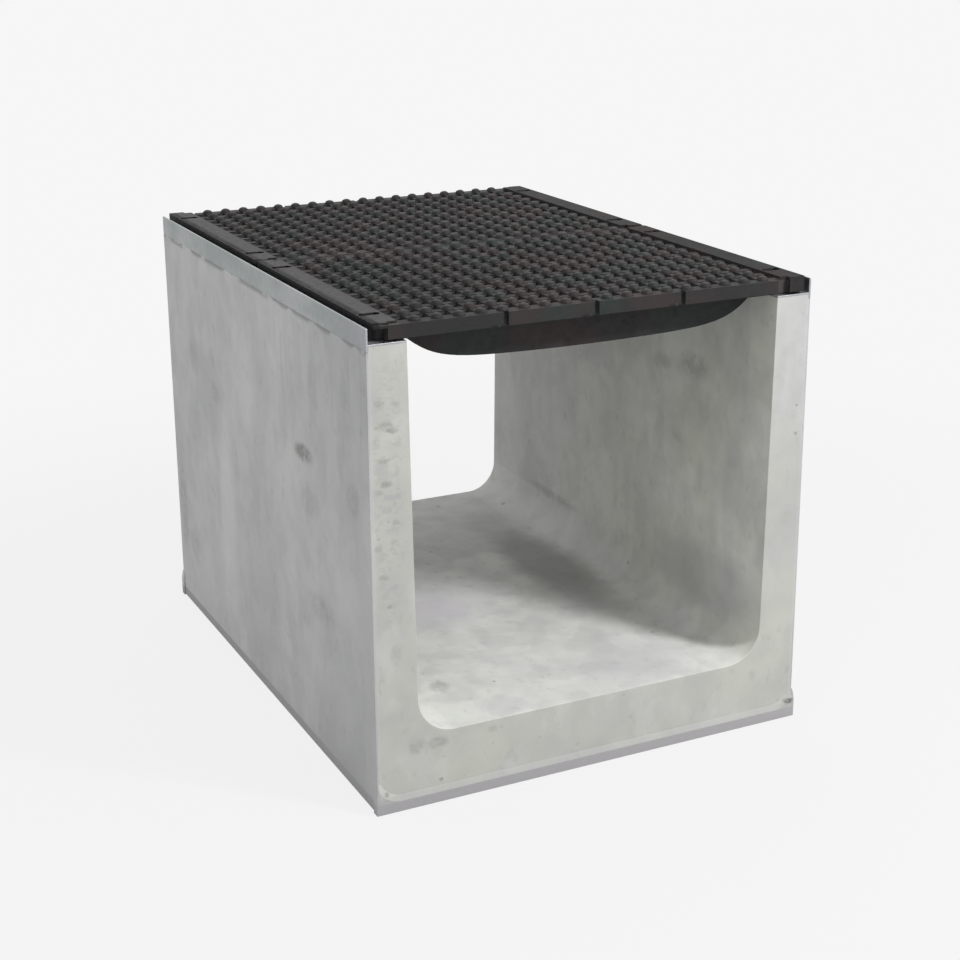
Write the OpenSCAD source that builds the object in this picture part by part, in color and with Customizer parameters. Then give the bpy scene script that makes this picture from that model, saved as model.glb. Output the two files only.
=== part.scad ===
// Precast concrete drainage channel with galvanised edge rails and two lift-out mesh gratings.
// Frame: origin at the bottom centre, X across the channel, Y along it, Z up. Millimetres.

/* [Channel] */
// Length of the unit, toe to toe
channel_length = 1000; // [600:10:1500]
// Width over the outer faces of the walls
channel_width = 750; // [600:10:1000]
// Height from the ground to the top of the edge rails
channel_height = 750; // [500:10:1000]
// Thickness of a wall at its top
wall_top = 62; // [50:1:90]
// How much thicker a wall is at the floor than at its top
wall_draft = 8; // [0:1:20]
// Thickness of the floor
floor_thickness = 115; // [80:1:160]
// Radius of the fillet between floor and wall
floor_fillet = 60; // [20:1:90]

/* [Toe round the foot of each end] */
// How far the toe stands proud of the end face
toe_proud = 5; // [2:0.5:8]
// Height of the toe's front before it slopes back
toe_height = 17; // [10:1:30]
// Height of the slope above the toe's front
toe_slope = 9; // [3:1:15]
// How far the toe flares beyond the sides
toe_flare = 3; // [1:0.5:6]
// Height at which the flare dies out on the corner
toe_corner_height = 50; // [35:1:80]
// Radius of the end face's bottom corners
toe_corner_radius = 45; // [20:1:60]
// Length of the flared foot along the channel
toe_length = 14; // [8:1:30]

/* [Edge rails] */
// Thickness of the rail's steel
rail_thickness = 3; // [2:0.5:6]
// Height of the upright leg above the seat
rail_upstand = 23; // [20:1:45]
// Depth of the upright leg below the seat's top
rail_downstand = 10; // [5:1:30]

/* [Gratings] */
// Number of gratings end to end
grating_count = 2; // [2]
// Gap between neighbouring gratings
grating_gap = 5; // [5:0.5:12]
// How far the end gratings stop short of the end face
grating_setback = 1; // [0:0.5:20]
// Gap between a grating and the rail's upright leg
side_clearance = 9.5; // [5:0.5:15]
// Height that a grating sits clear of its seat
seat_clearance = 0.3; // [0.1:0.1:0.5]
// Thickness of a grating at its border
grating_thickness = 27.5; // [24:0.5:40]
// How far the mesh and the end pads lie below the border
mesh_drop = 3.5; // [1:0.5:6]
// How far the studs on the mesh crossings rise above the mesh
stud_rise = 6.5; // [2:0.5:8]
// Diameter of a stud at its foot
stud_foot = 17; // [10:0.5:20]
// Diameter of a stud at its crown
stud_crown = 7; // [4:0.5:12]
// Width of the plain border along each side
border_width = 39; // [30:1:60]
// Width of the end bar behind the pads
end_bar = 12.5; // [10:0.5:30]
// Number of mesh openings across a grating
cells_across = 19; // [12:1:26]
// Number of mesh openings along a grating
cells_along = 12; // [8:1:16]
// Width of the mesh bars that run along the channel
bar_along = 11; // [8:0.5:16]
// Width of the mesh bars that run across the channel
bar_across = 13; // [8:0.5:18]

/* [Ribs under the gratings] */
// Mesh bars that carry a deep rib, counted from each end of a grating
rib_bars = [1, 3, 5]; // 1 to half of cells_along
// Depth of a rib at mid-span, below the grating
rib_depth = 52; // [30:1:90]
// Thickness of a rib
rib_thickness = 12; // [8:1:20]
// Gap between a rib's end and the channel wall
rib_clearance = 13; // [6:1:30]
// Share of the depth that a rib gains in its steep ends
rib_shoulder = 0.82; // [0.5:0.01:1]

/* [End pads and locking slots] */
// Number of gaps between the pads on a grating's end
pad_gaps = 3; // [1:1:4]
// Distance from one pad gap to the next
pad_pitch = 149; // [80:1:160]
// How far the pad gaps lie left of the middle
pad_offset = 8; // [0:1:20]
// Width of a pad gap
pad_gap = 8; // [5:1:14]
// How far the pads stand out from the end bar
pad_depth = 10; // [3:1:15]
// Height of the pads, down from the mesh's top
pad_height = 20.5; // [15:0.5:24]
// Width of the relief cut into a pad's lower corner beside a gap
relief_width = 24; // [10:1:40]
// Height of the relief above a pad's lower edge
relief_height = 3.5; // [2:0.5:8]
// Width of the pocket under the left corner of the end
pocket_width = 21.5; // [15:0.5:30]
// Depth of the pocket, back from the pads' face
pocket_depth = 20; // [12:1:22]
// Thickness of the lip over the pocket
pocket_lip = 7.5; // [5:0.5:12]
// Width of the notch near the right corner of the end
notch_width = 22; // [10:1:30]
// Distance of the notch's centre from the right side
notch_inset = 37.5; // [25:0.5:50]
// Length of a locking slot across the border
slot_length = 32; // [15:1:32]
// Width of a locking slot
slot_width = 14; // [6:1:16]
// Distance of a locking slot from the grating's end
slot_inset = 63; // [40:1:100]

/* [Hidden] */
$fn = 64;
eps = 0.01;

half_w = channel_width / 2;
half_l = channel_length / 2;
seat_z = channel_height - rail_upstand;
concrete_top = seat_z - rail_thickness;
body_half_l = half_l - toe_proud;

// Inner wall line: half width of the waterway at height z
wall_slope = wall_draft / (concrete_top - floor_thickness);
function inner_half(z) = half_w - wall_top - wall_slope * (concrete_top - z);

// Fillet circle that touches both the floor and the sloping wall
fillet_z = floor_thickness + floor_fillet;
fillet_x = inner_half(fillet_z) - floor_fillet * sqrt(1 + wall_slope * wall_slope);
fillet_touch_x = fillet_x + floor_fillet / sqrt(1 + wall_slope * wall_slope);
fillet_touch_z = fillet_z - floor_fillet * wall_slope / sqrt(1 + wall_slope * wall_slope);

// Gratings
grating_half_w = half_w - rail_thickness - side_clearance;
grating_z = seat_z + seat_clearance;
grating_top = grating_z + grating_thickness;
mesh_top = grating_top - mesh_drop;
grating_run = 2 * (body_half_l - grating_setback) - (grating_count - 1) * grating_gap;
grating_length = grating_run / grating_count;
grating_pitch = grating_length + grating_gap;
core_half_l = grating_length / 2 - pad_depth;
field_half_w = grating_half_w - border_width;
field_half_l = core_half_l - end_bar;
cell_x = (2 * field_half_w + bar_along) / cells_across;
cell_y = (2 * field_half_l + bar_across) / cells_along;
rib_half = inner_half(concrete_top) - rib_clearance;
rib_points = 48;
rib_end_power = 8;
pad_low = max(grating_z, mesh_top - pad_height);

// An outline drawn in X and Z, given a thickness along Y centred on y
module across(y, thickness) {
    translate([0, y + thickness / 2, 0])
        rotate([90, 0, 0])
            linear_extrude(thickness)
                children();
}

// The waterway: sloping walls, two fillet circles and the floor between them
module waterway_outline() {
    top = concrete_top + 50;
    polygon([
        [fillet_touch_x, fillet_touch_z], [inner_half(top), top],
        [-inner_half(top), top], [-fillet_touch_x, fillet_touch_z]
    ]);
    for (side = [-1, 1])
        translate([side * fillet_x, fillet_z])
            circle(r = floor_fillet);
    translate([-fillet_x, floor_thickness])
        square([2 * fillet_x, floor_fillet]);
}

// Outline of the foot, flaring out over the lower corners
module toe_outline() {
    polygon([
        [-half_w - toe_flare, 0], [half_w + toe_flare, 0],
        [half_w + toe_flare, toe_corner_height * 0.6], [half_w, toe_corner_height],
        [-half_w, toe_corner_height], [-half_w - toe_flare, toe_corner_height * 0.6]
    ]);
}

// Sunk end face: a rectangle with rounded bottom corners, wider than the unit
module end_face_outline(inset) {
    reach = half_w + toe_flare + 10 - inset;
    radius = toe_corner_radius - inset;
    low = toe_height + inset;
    for (side = [-1, 1])
        translate([side * (half_w + 5 - toe_corner_radius), low + radius])
            circle(r = radius);
    translate([-half_w - 5 + toe_corner_radius, low])
        square([2 * (half_w + 5 - toe_corner_radius), channel_height]);
    translate([-reach, low + radius])
        square([2 * reach, channel_height]);
}

module channel_body() {
    color("#b4b5b0")
    difference() {
        union() {
            across(0, 2 * body_half_l)
                translate([-half_w, 0])
                    square([channel_width, concrete_top]);
            for (side = [-1, 1])
                across(side * (half_l - toe_length / 2), toe_length)
                    toe_outline();
        }
        across(0, channel_length + 2)
            waterway_outline();
        for (side = [-1, 1]) {
            rail_rebate(side);
            end_face_cut(side);
        }
    }
}

// Step in the top outer corner that takes the rail's upright leg
module rail_rebate(side) {
    low = seat_z - rail_downstand;
    translate([side * (half_w + 5 - (5 + rail_thickness) / 2), 0, low + 10])
        cube([5 + rail_thickness, channel_length + 2, 20], center = true);
}

// Sinks the end face behind the toe, with a slope above the toe's front
module end_face_cut(side) {
    hull() {
        across(side * half_l, eps)
            end_face_outline(0);
        across(side * (body_half_l + eps / 2), eps)
            end_face_outline(toe_slope);
    }
}

// Angle cast into the top of a wall: upright leg outside, seat leg on the concrete
module rail(side) {
    color("#c3c6c8")
    across(0, 2 * body_half_l)
        scale([side, 1])
            polygon([
                [half_w, seat_z - rail_downstand], [half_w, channel_height],
                [half_w - rail_thickness, channel_height], [half_w - rail_thickness, seat_z],
                [inner_half(concrete_top), seat_z], [inner_half(concrete_top), concrete_top],
                [half_w - rail_thickness, concrete_top],
                [half_w - rail_thickness, seat_z - rail_downstand]
            ]);
}

// The mesh seen from above: a plate with rectangular openings
module mesh_outline() {
    difference() {
        square([2 * field_half_w + 2, 2 * field_half_l + 2], center = true);
        for (i = [0 : cells_across - 1], j = [0 : cells_along - 1])
            translate([
                -field_half_w + i * cell_x, -field_half_l + j * cell_y
            ])
                square([cell_x - bar_along, cell_y - bar_across]);
    }
}

// Fish-bellied rib: steep shoulders at its ends, and a shallow belly between them
module rib_outline() {
    polygon([
        for (i = [0 : rib_points])
            let (t = cos(180 * i / rib_points))
            [
                rib_half * t,
                -rib_depth * (
                    rib_shoulder * (1 - pow(abs(t), rib_end_power)) + (1 - rib_shoulder) * (1 - t * t)
                )
            ]
    ]);
}

// Anti-slip studs, one on every crossing of the mesh bars and along the end bars
module studs() {
    for (i = [1 : cells_across - 1], j = [0 : cells_along])
        translate([
            -field_half_w + i * cell_x - bar_along / 2,
            -field_half_l + j * cell_y - bar_across / 2,
            mesh_top - eps
        ])
            cylinder(h = stud_rise + eps, d1 = stud_foot, d2 = stud_crown);
}

// Pads on the end that faces -Y, split by narrow gaps, with a lip over the left corner's pocket
// and a block as high as the border in the right corner
module end_pads() {
    pocket_x = pocket_width - grating_half_w;
    block_x = grating_half_w - notch_inset;
    pad_run = pad_depth + end_bar / 2;
    difference() {
        union() {
            translate([pocket_x, 0, pad_low])
                cube([block_x - pocket_x, pad_run, mesh_top - pad_low]);
            translate([block_x, 0, pad_low])
                cube([notch_inset, pad_run, grating_top - pad_low]);
            translate([-grating_half_w, 0, grating_top - pocket_lip])
                rotate([90, 0, 90])
                    linear_extrude(pocket_width + 1)
                        nose_outline(pad_run);
        }
        for (i = [0 : pad_gaps - 1])
            translate([(i - (pad_gaps - 1) / 2) * pad_pitch - pad_offset, 0, 0]) {
                end_cut(0, pad_gap, pad_depth, pad_low - 1, grating_top + 1);
                end_cut(-relief_width / 2, relief_width, pad_depth, pad_low - 1, pad_low + relief_height);
            }
        end_cut(grating_half_w - notch_inset, notch_width, pad_depth, pad_low - 1, grating_top + 1);
    }
}

// The lip's section along the grating, with a rounded nose
module nose_outline(run) {
    nose = min(pocket_lip, pad_depth);
    difference() {
        square([run, pocket_lip]);
        difference() {
            translate([-1, pocket_lip - nose])
                square([nose + 1, nose + 1]);
            translate([nose, pocket_lip - nose])
                circle(r = nose);
        }
    }
}

// A block cut into the end that faces -Y, centred on x
module end_cut(x, width, depth, low, high) {
    translate([x - width / 2, -1, low])
        cube([width, depth + 1, high - low]);
}

module grating() {
    color("#3d3b3b")
    difference() {
        union() {
            translate([0, 0, grating_z])
                linear_extrude(mesh_top - grating_z)
                    mesh_outline();
            studs();
            for (side = [-1, 1]) {
                translate([side * (grating_half_w - border_width / 2), 0, grating_z + grating_thickness / 2])
                    cube([border_width, 2 * core_half_l, grating_thickness], center = true);
                translate([0, side * (core_half_l - end_bar / 2), (grating_z + mesh_top) / 2])
                    cube([2 * grating_half_w, end_bar, mesh_top - grating_z], center = true);
                for (bar = rib_bars)
                    across(side * (field_half_l + bar_across / 2 - bar * cell_y), rib_thickness)
                        translate([0, grating_z + eps])
                            rib_outline();
            }
            for (turn = [0, 180])
                rotate([0, 0, turn])
                    translate([0, -grating_length / 2, 0])
                        end_pads();
        }
        for (turn = [0, 180])
            rotate([0, 0, turn])
                translate([0, -grating_length / 2, 0])
                    end_cut(
                        (pocket_width - 1) / 2 - grating_half_w, pocket_width + 1, pocket_depth,
                        grating_z - 1, grating_top - pocket_lip
                    );
        for (sx = [-1, 1], sy = [-1, 1])
            translate([
                sx * (grating_half_w - border_width / 2),
                sy * (grating_length / 2 - slot_inset), grating_z - 1
            ])
                linear_extrude(grating_thickness + 2)
                    slot_outline();
    }
}

module slot_outline() {
    square([slot_length - slot_width, slot_width], center = true);
    for (side = [-1, 1])
        translate([side * (slot_length - slot_width) / 2, 0])
            circle(d = slot_width);
}

module grating_at(index) {
    translate([0, (index - (grating_count - 1) / 2) * grating_pitch, 0])
        grating();
}

channel_body();
rail(-1);  // rail_left
rail(1);  // rail_right
grating_at(0);  // grating_front
grating_at(1);  // grating_rear
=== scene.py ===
import math

import bpy
import numpy as np
from mathutils import Matrix, Vector


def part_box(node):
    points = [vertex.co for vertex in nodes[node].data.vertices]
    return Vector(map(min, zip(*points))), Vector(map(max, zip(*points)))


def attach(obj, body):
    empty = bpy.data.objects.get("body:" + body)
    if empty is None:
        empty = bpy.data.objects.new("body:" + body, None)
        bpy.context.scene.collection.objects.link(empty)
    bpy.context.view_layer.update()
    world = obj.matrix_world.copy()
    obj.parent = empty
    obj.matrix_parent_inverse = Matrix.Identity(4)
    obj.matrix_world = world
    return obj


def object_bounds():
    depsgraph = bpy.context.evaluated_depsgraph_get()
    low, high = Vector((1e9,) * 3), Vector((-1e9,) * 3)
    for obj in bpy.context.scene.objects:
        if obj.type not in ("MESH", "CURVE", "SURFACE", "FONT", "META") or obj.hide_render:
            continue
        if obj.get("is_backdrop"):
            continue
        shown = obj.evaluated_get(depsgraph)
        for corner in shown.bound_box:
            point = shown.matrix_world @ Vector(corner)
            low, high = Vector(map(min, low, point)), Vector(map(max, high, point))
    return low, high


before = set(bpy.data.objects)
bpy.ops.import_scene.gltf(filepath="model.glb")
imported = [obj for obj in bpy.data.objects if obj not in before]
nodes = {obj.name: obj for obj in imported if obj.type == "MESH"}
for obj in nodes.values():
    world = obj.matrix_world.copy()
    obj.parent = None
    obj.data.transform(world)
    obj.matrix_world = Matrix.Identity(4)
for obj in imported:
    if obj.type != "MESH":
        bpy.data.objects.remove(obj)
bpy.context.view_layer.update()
scene = bpy.context.scene
mm = 0.001
print("frame loaded:", len(nodes), "nodes")

# the heights that the castings and their finishes share
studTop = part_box("grating_front")[1].z
studRise = 6.5 * mm
meshTop = studTop - studRise


# sRGB hex to linear: (v + 0.055) / 1.055 to the power 2.4, or v / 12.92 in the darks
def linearColour(hexText):
    v = np.array([int(hexText[i:i + 2], 16) for i in (1, 3, 5)]) / 255
    v = np.where(v > 0.04045, ((v + 0.055) / 1.055) ** 2.4, v / 12.92)
    return (*v.tolist(), 1.0)


# one node, its sockets given as values or links, a hex text as a colour, and its settings
def addNode(tree, kind, sockets=None, **settings):
    node = tree.nodes.new("ShaderNode" + kind)
    for key, value in settings.items():
        setattr(node, key, value)
    for key, value in (sockets or {}).items():
        if isinstance(value, bpy.types.NodeSocket):
            tree.links.new(value, node.inputs[key])
        else:
            node.inputs[key].default_value = linearColour(value) if isinstance(value, str) else value
    return node


def startMaterial(name):
    material = bpy.data.materials.new(name)
    material.use_nodes = True
    material.node_tree.nodes.clear()
    return material, material.node_tree


def setMaterial(obj, material):
    obj.data.materials.clear()
    obj.data.materials.append(material)


# clouds: a noise stretched by direction and squeezed so that low..high becomes 0..1
def cloud(tree, coords, sizeMm, low, high, stretch=(1, 1, 1), shift=(0, 0, 0), detail=4.0, rough=0.55):
    moved = addNode(tree, "Mapping", {0: coords, "Location": shift,
                                      "Scale": [1000 / sizeMm / s for s in stretch]})
    noise = addNode(tree, "TexNoise", {"Vector": moved.outputs[0], "Scale": 1.0, "Detail": detail,
                                       "Roughness": rough})
    return addNode(tree, "MapRange", {0: noise.outputs[0], 1: low, 2: high},
                   interpolation_type="SMOOTHSTEP").outputs[0]


# an oval stain: 1 in its middle and 0 outside, with a soft rim
def stain(tree, coords, centreMm, radiusMm, soft=0.45):
    local = addNode(tree, "Mapping", {0: coords, "Location": [c * mm for c in centreMm],
                                      "Scale": [r * mm for r in radiusMm]}, vector_type="TEXTURE")
    far = addNode(tree, "VectorMath", {0: local.outputs[0]}, operation="LENGTH").outputs[1]
    return addNode(tree, "MapRange", {0: far, 1: 1.0 + soft, 2: 1.0 - soft},
                   interpolation_type="SMOOTHSTEP").outputs[0]


# a zone: 0 to 1 as one part of a vector, or its size alone, goes from start to end
def zone(tree, vector, part, start, end, mirrored=False):
    value = addNode(tree, "SeparateXYZ", {0: vector}).outputs[part]
    if mirrored:
        value = addNode(tree, "Math", {0: value}, operation="ABSOLUTE").outputs[0]
    return addNode(tree, "MapRange", {0: value, 1: start, 2: end}, interpolation_type="SMOOTHSTEP").outputs[0]


# small holes: each random cell that wins its draw has a dot as large as its luck, from less than
# nothing to the largest, and a soft rim
def holes(tree, coords, cellMm, share, largest, stretch=(1, 1, 1), least=-0.06, soft=0.04):
    moved = addNode(tree, "Mapping", {0: coords, "Scale": [1000 / cellMm / s for s in stretch]})
    cells = addNode(tree, "TexVoronoi", {"Vector": moved.outputs[0], "Scale": 1.0})
    luck = addNode(tree, "SeparateColor", {0: cells.outputs["Color"]}).outputs[0]
    size = addNode(tree, "MapRange", {0: luck, 1: 1 - share, 2: 1.0, 3: least, 4: largest}).outputs[0]
    rim = addNode(tree, "Math", {0: cells.outputs["Distance"], 1: size}, operation="SUBTRACT").outputs[0]
    return addNode(tree, "MapRange", {0: rim, 1: soft, 2: -soft}, interpolation_type="SMOOTHSTEP").outputs[0]


# the named masks of a finish: where it lies, which way it faces, and its clouds
def makeMasks(tree, look, coords, facing):
    at = {key: zone(tree, coords, *spec) for key, spec in look["zones"].items()}
    at.update({key: zone(tree, facing, *spec) for key, spec in look["faces"].items()})
    at.update({key: cloud(tree, coords, *spec) for key, spec in look["clouds"].items()})
    return at


# colours over a base: each has a colour, a cover, and masks that are multiplied
def paint(tree, base, layers):
    for colour, cover, *masks in layers:
        for mask in masks:
            cover = addNode(tree, "Math", {0: mask, 1: cover}, operation="MULTIPLY").outputs[0]
        base = addNode(tree, "Mix", {0: cover, 6: base, 7: colour}, data_type="RGBA").outputs[2]
    return base


# a finish's own layers, which name their colours and masks
def paintLayers(tree, look, at):
    return paint(tree, look["base"], [(look[tone], cover, *[at[key] for key in names.split()])
                                      for tone, cover, names in look["layers"]])


# a sum of masks, each with its own weight
def weigh(tree, at, weights):
    total = 0.0
    for key, weight in weights:
        total = addNode(tree, "Math", {0: at[key], 1: weight, 2: total}, operation="MULTIPLY_ADD").outputs[0]
    return total


concreteLook = {
    "base": "#c2c3c2",        # dry precast concrete, struck from a steel mould
    "stopEnd": "#bbbcb4",     # the end faces, a little warmer, cast against the stop end, and darker as painted shade
    "stopEndPale": "#bababa",  # the right post's top, greyer
    "paintedLightInside": "#dcddd8",      # the waterway, painted paler: painted light where the lamps leave it dim
    "green": "#c6c9bb",       # cured laitance on the waterway's walls
    "cementAndShade": "#a3a3a4",      # cement-rich, darker clouds, and painted shade in several places
    "lilac": "#c6c1ca",       # thin lime film
    "pale": "#d6d6d6",        # lime bloom, and painted light on the outer sides' far low part
    "dampAndShade": "#7b7d79",        # damp spots and held dirt, and painted shade on the floor
    "dark": "#575853",        # the deepest of them
    "toe": "#a3a1a4",         # the foot, darker and greyer along its lowest band
    "roughness": 0.88,
    "specular": 0.3,
    "ior": 1.45,
    "bump": (0.5, 0.6 * mm),  # strength and depth
    # where the layers lie, in metres: part of the vector, start, end, and whether both sides are alike
    "zones": {
        "outSide": (0, 0.371, 0.3735, True),
        "outerRim": (0, 0.366, 0.374, True),
        "rightPost": (0, 0.30, 0.32),
        "postTop": (2, 0.40, 0.66),
        "inWaterway": (0, 0.325, 0.319, True),
        "overFloor": (2, 0.106, 0.113),
        "nearHalf": (1, 0.20, -0.25),
        "farHalf": (1, 0.05, 0.35),
        "nearQuarter": (1, -0.10, -0.42),
        "lowPart": (2, 0.33, 0.06),
        "highPart": (2, 0.42, 0.68),
        "underRail": (2, 0.706, 0.7155),
        "footBand": (2, 0.028, 0.024),
        "toeBand": (2, 0.019, 0.015),
    },
    # the same for the way that a face points
    "faces": {
        "onEnd": (1, 0.6, 0.9, True),
        "offEnd": (1, 0.9, 0.6, True),
        "onWall": (0, 0.3, 0.8, True),
    },
    # soft patterns: size in mm, low, high, stretch, shift, detail and roughness
    "clouds": {
        "grain": (2.4, 0.2, 0.8, (1, 1, 1), (0, 0, 0), 3.0),  # sand, drawn coarser so that it shows
        "drift": (150, 0.40, 0.64),
        "mottle": (44, 0.40, 0.66, (1, 1, 1), (3, 1, 7)),
        "warmth": (240, 0.35, 0.60, (1, 1, 1), (11, 5, 2), 3.0),
        "lilacs": (110, 0.50, 0.66, (1, 1, 1), (8, 2, 6), 3.0),
        "streaks": (15, 0.52, 0.74, (1, 1, 9), (5, 2, 8), 2.0),
        "crumbs": (10, 0.46, 0.64, (1.4, 1, 1), (2, 5, 5), 3.0),
        "flecks": (16, 0.36, 0.58, (1, 1, 1), (7, 7, 2), 4.0, 0.65),
        "swell": (33, 0.0, 1.0, (1, 1, 1), (1, 1, 5)),
    },
    # the same, with ragged edges
    "raggedClouds": {
        "patches": (70, 0.47, 0.58, (1, 1, 1.9), (4, 4, 4), 1.5),
        "smudges": (17, 0.60, 0.72, (1, 1.6, 2), (1, 8, 3), 2.0),
        "bloom": (60, 0.52, 0.64, (1, 1, 1.6), (2, 9, 4), 2.0),
        "wave": (36, 0.42, 0.54, (1, 1.6, 0.5), (6, 6, 1), 2.0),
    },
    "ragScale": 40.0,         # waves a metre of the ragged edges
    "ragDeep": 0.014,         # how far they wander, in metres
    # ovals: centre and half sizes in mm, and softness
    "leftPost": ((-345, -500, 500), (24, 30, 200), 0.4),
    "sill": ((-120, -500, 80), (300, 30, 60), 0.3),
    # air holes: cell in mm, share of the cells, largest in cells, and stretch
    "fewPits": (30, 0.25, 0.16),
    "postPits": (11, 0.5, 0.26, (1.5, 1, 1)),
    "relief": [("grain", 0.35), ("swell", 0.9), ("fewPits", -2.0), ("patches", 0.15)],
    "stainGain": 1.2,         # makes up for what the gaps between the flecks take away
    "brokenLeast": 0.35,      # what stays of a stain between its flecks
    # colour, cover, and the names of its masks
    "layers": [
        # the end faces' own warmer skin, made darker as painted shade
        ("stopEnd", 1.0, "onEnd"),
        ("stopEndPale", 0.8, "onEnd rightPost postTop"),
        # painted light: the waterway paler where the lamps leave it dim
        ("paintedLightInside", 1.0, "inWaterway overFloor offEnd"),
        ("green", 0.60, "nearHalf inWaterway overFloor offEnd onWall warmth"),
        # painted shade: the waterway's far half darker
        ("cementAndShade", 0.36, "farHalf inWaterway overFloor offEnd"),
        ("cementAndShade", 0.20, "drift"),
        ("cementAndShade", 0.18, "patches"),
        ("cementAndShade", 0.18, "mottle"),
        ("pale", 0.15, "bloom"),
        ("lilac", 0.16, "lilacs"),
        ("lilac", 0.35, "onEnd outerRim"),
        # painted shade: the outer sides darker towards the near end, most at the bottom
        ("cementAndShade", 0.42, "outSide nearQuarter lowPart"),
        ("cementAndShade", 0.30, "outSide nearQuarter highPart"),
        ("cementAndShade", 0.18, "outSide nearQuarter"),
        # painted light: the outer sides paler at their far low part
        ("pale", 0.25, "outSide farHalf lowPart"),
        ("dampAndShade", 0.20, "streaks outSide nearHalf highPart"),
        ("dampAndShade", 0.13, "smudges"),
        ("dampAndShade", 0.65, "outSide wave underRail"),
        # darker towards the foot of the end faces and along the lowest band
        ("cementAndShade", 0.45, "footBand onEnd"),
        ("toe", 0.90, "toeBand"),
        ("cementAndShade", 0.50, "crumbs leftPost onEnd"),
        ("dampAndShade", 0.46, "postPits leftPost onEnd"),
        ("dampAndShade", 0.20, "postPits sill onEnd"),
        ("dampAndShade", 0.50, "fewPits"),
    ],
    # small stains: colour, cover, centre and half sizes in mm
    "stains": [
        ("dampAndShade", 0.62, (-375, -222, 494), (12, 34, 14)),
        ("dampAndShade", 0.16, (-375, -238, 421), (12, 40, 24)),
        ("dampAndShade", 0.26, (-375, -429, 481), (12, 24, 24)),
        ("dampAndShade", 0.20, (-375, 341, 520), (12, 25, 30)),
        ("dampAndShade", 0.18, (-375, 224, 478), (12, 22, 18)),
        ("dampAndShade", 0.24, (-375, 462, 200), (12, 20, 95)),
        ("dampAndShade", 0.20, (-375, 398, 135), (12, 30, 26)),
        ("dampAndShade", 0.14, (-375, -275, 624), (12, 18, 62)),
        ("dampAndShade", 0.16, (-375, -412, 640), (12, 16, 60)),
        ("dampAndShade", 0.20, (-375, -283, 254), (12, 60, 20)),
        ("dampAndShade", 0.14, (-375, -384, 545), (12, 14, 60)),
        ("dampAndShade", 0.36, (-347, -500, 605), (13, 12, 8)),
        ("dark", 0.34, (-338, -500, 598), (8, 12, 4)),
        ("dampAndShade", 0.30, (-358, -500, 639), (7, 12, 5)),
        ("dampAndShade", 0.28, (-331, -500, 635), (6, 12, 5)),
        ("dampAndShade", 0.34, (-354, -500, 556), (13, 12, 3)),
        ("dampAndShade", 0.36, (-350, -500, 520), (9, 12, 5)),
        ("dampAndShade", 0.30, (-360, -500, 509), (6, 12, 4)),
        ("dampAndShade", 0.30, (-335, -500, 463), (6, 12, 5)),
        ("dampAndShade", 0.26, (-362, -500, 423), (7, 12, 5)),
        ("dampAndShade", 0.22, (-355, -500, 379), (7, 12, 5)),
        ("dampAndShade", 0.34, (-275, -500, 97), (17, 12, 9)),
        ("dampAndShade", 0.28, (-310, -500, 100), (15, 12, 12)),
        ("dampAndShade", 0.22, (-183, -500, 101), (8, 12, 6)),
        ("dampAndShade", 0.22, (-340, -500, 254), (9, 12, 16)),
        ("dark", 0.70, (366, -500, 29), (8, 12, 5)),
        ("dampAndShade", 0.34, (308, -266, 560), (16, 42, 22)),
        ("dampAndShade", 0.22, (308, -160, 547), (16, 26, 14)),
        ("dampAndShade", 0.28, (308, 233, 178), (16, 95, 9)),
        ("dampAndShade", 0.34, (-206, -349, 115), (16, 22, 12)),
    ],
    # wide, soft ones, in the same way
    "shades": [
        ("dampAndShade", 0.10, (-375, -6, 271), (12, 95, 120)),
        ("pale", 0.45, (-375, 181, 260), (12, 44, 170)),
        ("pale", 0.25, (-375, 60, 560), (12, 60, 90)),
        # painted shade: the right wall darker low near the front
        ("cementAndShade", 0.50, (308, -330, 200), (16, 150, 60)),
        ("pale", 0.30, (286, 110, 136), (26, 270, 26)),
        # these two floor bands: damp at the wall's foot, deepened as painted shade over the floor's shaded
        # part
        ("dampAndShade", 0.58, (196, 40, 115), (58, 180, 14)),
        ("dampAndShade", 0.16, (190, 260, 115), (40, 110, 14)),
        # painted shade: the right post darker at its middle
        ("cementAndShade", 0.28, (345, -500, 390), (50, 12, 170)),
        ("lilac", 0.50, (-90, -40, 115), (85, 95, 12)),
        ("lilac", 0.30, (120, -410, 115), (90, 60, 12)),
    ],
}


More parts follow.
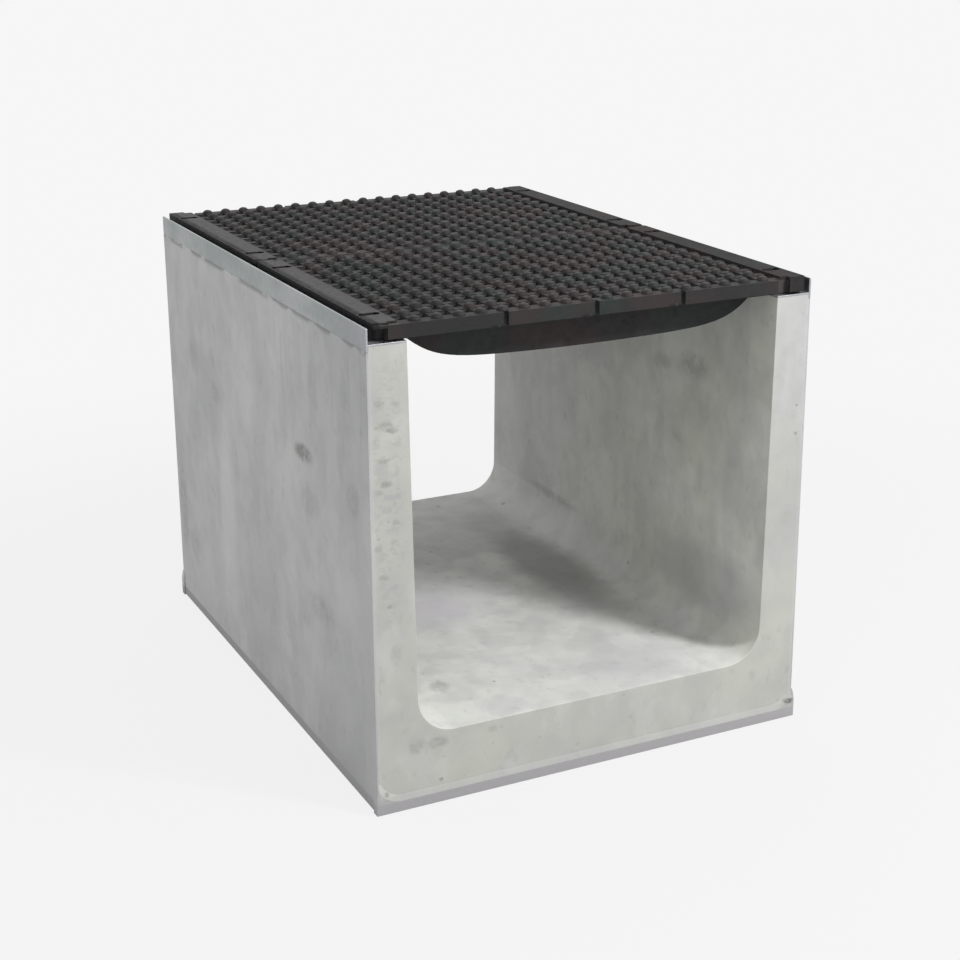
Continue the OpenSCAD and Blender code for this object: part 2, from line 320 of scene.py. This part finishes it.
# Cast concrete: matt and chalky, soft grey clouds where the cement paste ran, smudges and stains,
# small round air holes, and a fine sandy grain, with painted light and painted shade in places
def castConcrete():
    look = concreteLook
    material, tree = startMaterial("castConcrete")
    place = addNode(tree, "TexCoord")
    coords, facing = place.outputs["Object"], place.outputs["Normal"]
    noise = addNode(tree, "TexNoise", {"Vector": coords, "Scale": look["ragScale"], "Detail": 3.0,
                                       "Roughness": 0.6})
    sway = addNode(tree, "VectorMath", {0: noise.outputs["Color"], 1: (look["ragDeep"],) * 3,
                                        2: (-look["ragDeep"] / 2,) * 3}, operation="MULTIPLY_ADD")
    ragged = addNode(tree, "VectorMath", {0: coords, 1: sway.outputs[0]}).outputs[0]

    at = makeMasks(tree, look, coords, facing)
    at.update({key: cloud(tree, ragged, *spec) for key, spec in look["raggedClouds"].items()})
    at["leftPost"] = stain(tree, coords, *look["leftPost"])
    at["sill"] = stain(tree, coords, *look["sill"])
    at["fewPits"] = holes(tree, coords, *look["fewPits"])
    at["postPits"] = holes(tree, ragged, *look["postPits"])
    broken = addNode(tree, "MapRange", {0: at["flecks"], 3: look["brokenLeast"], 4: 1.0}).outputs[0]

    colour = paintLayers(tree, look, at)
    colour = paint(tree, colour, [(look[tone], cover, stain(tree, ragged, centre, radius))
                                  for tone, cover, centre, radius in look["shades"]])
    colour = paint(tree, colour, [(look[tone], cover * look["stainGain"],
                                   stain(tree, ragged, centre, radius), broken)
                                  for tone, cover, centre, radius in look["stains"]])

    strength, depth = look["bump"]
    bump = addNode(tree, "Bump", {"Strength": strength, "Distance": depth,
                                  "Height": weigh(tree, at, look["relief"])})
    shader = addNode(tree, "BsdfPrincipled", {"Base Color": colour, "Normal": bump.outputs[0],
                                              "IOR": look["ior"], "Roughness": look["roughness"],
                                              "Specular IOR Level": look["specular"]})
    addNode(tree, "OutputMaterial", {0: shader.outputs[0]})
    return material


steelLook = {
    "base": "#c3c6c6",        # dull zinc grey with a faint blue-green cast
    "zincDark": "#a4a9ab",    # darker crystals and weathered coat
    "green": "#a9b4b0",       # thin zinc patina
    "purple": "#b3adb8",      # a film near the front end
    "spangleMm": 11,          # crystal size of the dipped coat
    "roughness": (0.41, 0.55),  # least and most, from crystal to crystal
    "zones": {"frontEnd": (1, -0.36, -0.47)},
    "faces": {},
    "clouds": {
        "weather": (70, 0.42, 0.62, (1, 2.5, 1)),
        "patina": (110, 0.45, 0.60, (1, 2, 1), (3, 7, 1)),
    },
    "layers": [
        ("zincDark", 0.20, "crystals"),
        ("zincDark", 0.60, "weather"),
        ("green", 0.30, "patina"),
        ("purple", 0.35, "frontEnd"),
    ],
}


# Hot-dip galvanised steel: dull silver grey, faint crystal patches that each shine a little differently,
# greenish and purplish where the coat has weathered
def galvanisedSteel():
    look = steelLook
    material, tree = startMaterial("hotDipGalvanisedSteel")
    place = addNode(tree, "TexCoord")
    coords, facing = place.outputs["Object"], place.outputs["Normal"]
    spangle = addNode(tree, "TexVoronoi", {"Vector": coords, "Scale": 1000 / look["spangleMm"]})
    at = makeMasks(tree, look, coords, facing)
    at["crystals"] = addNode(tree, "SeparateColor", {0: spangle.outputs["Color"]}).outputs[0]
    least, most = look["roughness"]
    rough = addNode(tree, "MapRange", {0: at["crystals"], 3: least, 4: most}).outputs[0]
    shader = addNode(tree, "BsdfPrincipled", {"Base Color": paintLayers(tree, look, at), "Metallic": 1.0,
                                              "Roughness": rough})
    addNode(tree, "OutputMaterial", {0: shader.outputs[0]})
    return material


ironLook = {
    "base": "#232222",        # black dip over the casting skin
    "brown": "#2d2526",       # first rust showing through
    "green": "#212827",       # older dip, greenish grey
    "border": "#4c4b4b",      # smooth side strips, greyer with dried mud
    "dustAndLight": "#484646",        # pale dust and wear on what stands highest, painted light in the mesh holes, and a painted highlight on the stud crowns
    "shade": "#060606",       # painted shade: black on the sides beside the rails and on the left border's outer edge
    "roughness": 0.55,
    # what makes it rougher, and by how much
    "roughBy": [("speck", 0.16), ("rightBorder", 0.24), ("mud", 0.08)],
    "specular": 0.3,
    "ior": 1.5,
    "bump": (0.6, 0.4 * mm),  # strength and depth
    # in metres, measured from the casting's own heights where it can be
    "zones": {
        "leftBorder": (0, -0.322, -0.3245),
        "rightBorder": (0, 0.322, 0.3245),
        # the stud crowns: wear, and a painted highlight
        "worn": (2, studTop - 1.6 * mm, studTop - 0.1 * mm),
        "inMesh": (2, meshTop - 1 * mm, meshTop - 3 * mm),
        "overRibs": (2, meshTop - 24 * mm, meshTop - 20 * mm),
        "offPads": (1, 0.491, 0.487, True),
        "rearPart": (1, -0.25, 0.30),
        "leftRim": (0, -0.348, -0.356),
        "bothRims": (0, 0.355, 0.361, True),
    },
    "faces": {
        "onTop": (2, 0.5, 0.9),
        "onSide": (0, 0.6, 0.9, True),
    },
    "clouds": {
        "rusty": (115, 0.44, 0.58, (1, 1, 1), (0, 0, 0), 1.0),
        "mossy": (92, 0.50, 0.64, (1, 1, 1), (7, 3, 1), 1.0),
        "speck": (9, 0.35, 0.75, (1, 1, 1), (1, 6, 2)),
        "mud": (45, 0.40, 0.64, (1, 2, 1), (2, 2, 9)),
        "grain": (1.6, 0.2, 0.8, (1, 1, 1), (0, 0, 0), 3.0),  # moulding sand
    },
    "layers": [
        ("brown", 0.9, "rusty"),
        ("green", 0.8, "mossy"),
        # painted light: the mesh's holes and walls paler, where shade falls into them
        ("dustAndLight", 0.70, "inMesh overRibs offPads"),
        ("dustAndLight", 0.30, "onTop rearPart"),
        # the stud crowns paler: wear, and a painted highlight
        ("dustAndLight", 0.60, "worn"),
        ("dustAndLight", 0.70, "worn speck"),
        ("border", 0.5, "leftBorder onTop"),
        ("border", 0.5, "leftBorder onTop mud"),
        # painted shade: black on the left border's outer edge and on the grating's sides beside the rails
        ("shade", 0.95, "leftRim"),
        ("shade", 0.9, "onSide bothRims"),
    ],
}


# Ductile iron, sand cast and dipped black: dark and half matt, with wide brown and green-grey patches, a
# sandy skin, paler tops where feet and dust have been and a painted highlight on them, painted light in the
# mesh holes, and painted shade on the sides beside the rails
def ductileIron():
    look = ironLook
    material, tree = startMaterial("ductileIron")
    place = addNode(tree, "TexCoord")
    coords, facing = place.outputs["Object"], place.outputs["Normal"]
    at = makeMasks(tree, look, coords, facing)
    rough = weigh(tree, at, look["roughBy"])
    rough = addNode(tree, "Math", {0: rough, 1: look["roughness"]}).outputs[0]
    strength, depth = look["bump"]
    bump = addNode(tree, "Bump", {"Strength": strength, "Distance": depth, "Height": at["grain"]})
    shader = addNode(tree, "BsdfPrincipled", {"Base Color": paintLayers(tree, look, at),
                                              "Normal": bump.outputs[0], "IOR": look["ior"],
                                              "Roughness": rough, "Specular IOR Level": look["specular"]})
    addNode(tree, "OutputMaterial", {0: shader.outputs[0]})
    return material


concrete = castConcrete()
zinc = galvanisedSteel()
iron = ductileIron()
print("finishes ready")

edgeLook = {
    # finish, edge radius in mm and its steps
    "nodes": {
        "channel_body": (concrete, 2.5, 3),
        "rail_left": (zinc, 0.5, 2),
        "rail_right": (zinc, 0.5, 2),
        "grating_front": (iron, 1.2, 2),
        "grating_rear": (iron, 1.2, 2),
    },
    "joinMm": 0.02,           # corners nearer than this are one
    "sharpDegrees": 35,
}

for name, (finish, radius, steps) in edgeLook["nodes"].items():
    node = nodes[name]
    join = node.modifiers.new("join", "WELD")
    join.merge_threshold = edgeLook["joinMm"] * mm
    ease = node.modifiers.new("ease", "BEVEL")
    ease.width = radius * mm
    ease.segments = steps
    ease.limit_method = "ANGLE"
    ease.angle_limit = math.radians(edgeLook["sharpDegrees"])
    ease.harden_normals = False
    setMaterial(node, finish)
print("edges eased")

# lengths in mm
studLook = {
    "pitchX": 34.6,           # the mesh's own pitch, across and along
    "pitchY": 38.29,
    "columns": 18,
    "rows": 13,
    "halfX": 9.8,
    "halfY": 9.3,
    "rise": studRise / mm,
    "sunk": 1.5,              # how deep its foot goes into the casting
    "around": 10,             # corners in each ring
    # share of the half width and of the rise, ring by ring
    "profile": [(1.02, 0.0), (0.99, 0.08), (0.86, 0.50), (0.66, 0.82), (0.36, 0.96)],
}


# One stud is a flat-topped dome: over the ring angle a and a ring step s the point is
# (halfX r(s) cos a, halfY r(s) sin a, h(s)), with r falling and h rising towards the crown;
# all studs are that grid shifted to each crossing, closed by a fan on top and one flat face underneath
def studField(name, body, centreY):
    look = studLook
    rings = np.array(look["profile"]) * [1.0, look["rise"]]
    rings[0, 1] = -look["sunk"]
    angle = np.linspace(0, 2 * np.pi, look["around"], endpoint=False)
    ringX = look["halfX"] * rings[:, :1] * np.cos(angle)
    ringY = look["halfY"] * rings[:, :1] * np.sin(angle)
    ringZ = np.repeat(rings[:, 1:], look["around"], 1)
    one = np.stack([ringX, ringY, ringZ], 2).reshape(-1, 3)
    one = np.vstack([one, [[0, 0, look["rise"]]]])
    columns = (np.arange(look["columns"]) - (look["columns"] - 1) / 2) * look["pitchX"]
    rows = (np.arange(look["rows"]) - (look["rows"] - 1) / 2) * look["pitchY"]
    where = np.stack(np.meshgrid(columns, rows), 2).reshape(-1, 1, 2)
    points = np.repeat(one[None], len(where), 0)
    points[:, :, :2] += where
    points = points.reshape(-1, 3) * mm + [0, centreY, meshTop]
    n, turns = look["around"], len(rings) - 1
    step = np.arange(n)
    after = (step + 1) % n
    level = np.arange(turns)[:, None] * n
    quads = np.stack([level + step, level + after, level + n + after, level + n + step], 2).reshape(-1, 4)
    crownFan = np.stack([turns * n + step, turns * n + after, np.full(n, len(one) - 1)], 1)
    shift = (np.arange(len(where)) * len(one))[:, None, None]
    faces = (quads + shift).reshape(-1, 4).tolist() + (crownFan + shift).reshape(-1, 3).tolist()
    faces += (step[::-1] + shift[:, 0]).tolist()
    mesh = bpy.data.meshes.new(name)
    mesh.from_pydata(points.tolist(), [], faces)
    mesh.polygons.foreach_set("use_smooth", np.ones(len(faces), bool))
    mesh.update()
    obj = bpy.data.objects.new(name, mesh)
    scene.collection.objects.link(obj)
    setMaterial(obj, iron)
    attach(obj, body)


for end in ("front", "rear"):
    low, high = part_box("grating_" + end)
    studField("studs_" + end, end + "_grating", (low.y + high.y) / 2)
print("studs placed")


stageLook = {
    "paper": "#f6f6f6",       # the backdrop as the camera sees it
    "ambient": 0.82,
    "backShare": 0.36,        # how much brighter the room is behind the channel, and darker in front
    "floorGrey": "#cfcfcf",   # what the channel sees of the floor
    "floorHalf": 14.0,        # metres
    "fadeFrom": 0.8,          # the shadow is kept to here, and fades out by fadeTo
    "fadeTo": 2.4,
    "glowShare": 0.90,        # how far the seen floor is plain paper; the rest keeps the shadow
    "keyWatts": 81.0,
    "keySize": 0.5,
    "keyFrom": (0.40, -0.62, 0.70),
    "keyFar": 3.4,            # metres from where it aims
    "keyAim": (0, -0.2, 0.35),
}


def makeStage():
    look = stageLook
    mesh = bpy.data.meshes.new("floor")
    corners = np.array([(-1, -1, 0), (1, -1, 0), (1, 1, 0), (-1, 1, 0)]) * look["floorHalf"]
    mesh.from_pydata(corners.tolist(), [], [(0, 1, 2, 3)])
    floor = bpy.data.objects.new("floor", mesh)
    scene.collection.objects.link(floor)
    material, tree = startMaterial("palePaper")
    coords = addNode(tree, "TexCoord").outputs["Object"]
    far = addNode(tree, "VectorMath", {0: coords}, operation="LENGTH").outputs[1]
    seen = addNode(tree, "LightPath").outputs["Is Camera Ray"]
    share = addNode(tree, "MapRange", {0: far, 1: look["fadeFrom"], 2: look["fadeTo"],
                                        3: look["glowShare"], 4: 1.0},
                    interpolation_type="SMOOTHSTEP").outputs[0]
    shown = addNode(tree, "Math", {0: share, 1: seen}, operation="MULTIPLY").outputs[0]
    matt = addNode(tree, "BsdfDiffuse", {"Color": look["floorGrey"]}).outputs[0]
    glow = addNode(tree, "Emission", {"Color": look["paper"], "Strength": 1.0}).outputs[0]
    mix = addNode(tree, "MixShader", {0: shown, 1: matt, 2: glow})
    addNode(tree, "OutputMaterial", {0: mix.outputs[0]})
    setMaterial(floor, material)
    floor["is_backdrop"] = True

    world = bpy.data.worlds.new("studio")
    scene.world = world
    world.use_nodes = True
    tree = world.node_tree
    tree.nodes.clear()
    path = addNode(tree, "LightPath").outputs
    seen = addNode(tree, "Math", {0: path["Is Camera Ray"], 1: path["Is Glossy Ray"]},
                   operation="MAXIMUM").outputs[0]
    way = addNode(tree, "TexCoord").outputs["Generated"]
    wayY = addNode(tree, "SeparateXYZ", {0: way}).outputs[1]
    room = addNode(tree, "MapRange", {0: wayY, 1: -1.0, 2: 1.0, 3: look["ambient"] * (1 - look["backShare"]),
                                      4: look["ambient"] * (1 + look["backShare"])}).outputs[0]
    strength = addNode(tree, "Mix", {0: seen, 2: room, 3: 1.0}).outputs[0]
    tone = addNode(tree, "Mix", {0: seen, 6: "#ffffff", 7: look["paper"]}, data_type="RGBA").outputs[2]
    sky = addNode(tree, "Background", {0: tone, 1: strength})
    addNode(tree, "OutputWorld", {0: sky.outputs[0]})

    source = Vector(look["keyFrom"]).normalized()
    data = bpy.data.lights.new("key", "AREA")
    data.shape = "DISK"
    data.size = look["keySize"]
    data.energy = look["keyWatts"]
    key = bpy.data.objects.new("key", data)
    scene.collection.objects.link(key)
    key.location = Vector(look["keyAim"]) + source * look["keyFar"]
    key.rotation_euler = source.to_track_quat("Z", "Y").to_euler()


# angles in degrees, place in metres, lens in mm on a 36 mm sensor
cameraLook = {
    "place": (-1.2640, -2.7124, 1.3292),
    "sensor": 36.0,
    "azimuth": -27.255,
    "elevation": 17.074,
    "roll": 0.096,
    "lens": 66.497,
    "shiftX": -0.05056,
    "shiftY": -0.04741,
}


def makeCamera():
    look = cameraLook
    data = bpy.data.cameras.new("camera")
    data.sensor_width = look["sensor"]
    data.lens = look["lens"]
    data.shift_x, data.shift_y = look["shiftX"], look["shiftY"]
    camera = bpy.data.objects.new("camera", data)
    scene.collection.objects.link(camera)
    a, e = math.radians(look["azimuth"]), math.radians(look["elevation"])
    back = Vector((math.sin(a) * math.cos(e), -math.cos(a) * math.cos(e), math.sin(e)))
    turn = back.to_track_quat("Z", "Y").to_matrix() @ Matrix.Rotation(math.radians(look["roll"]), 3, "Z")
    camera.rotation_euler = turn.to_euler()
    camera.location = look["place"]
    scene.camera = camera


makeStage()
makeCamera()
scene.view_settings.view_transform = "Standard"
print("stage and camera ready")

low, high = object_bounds()
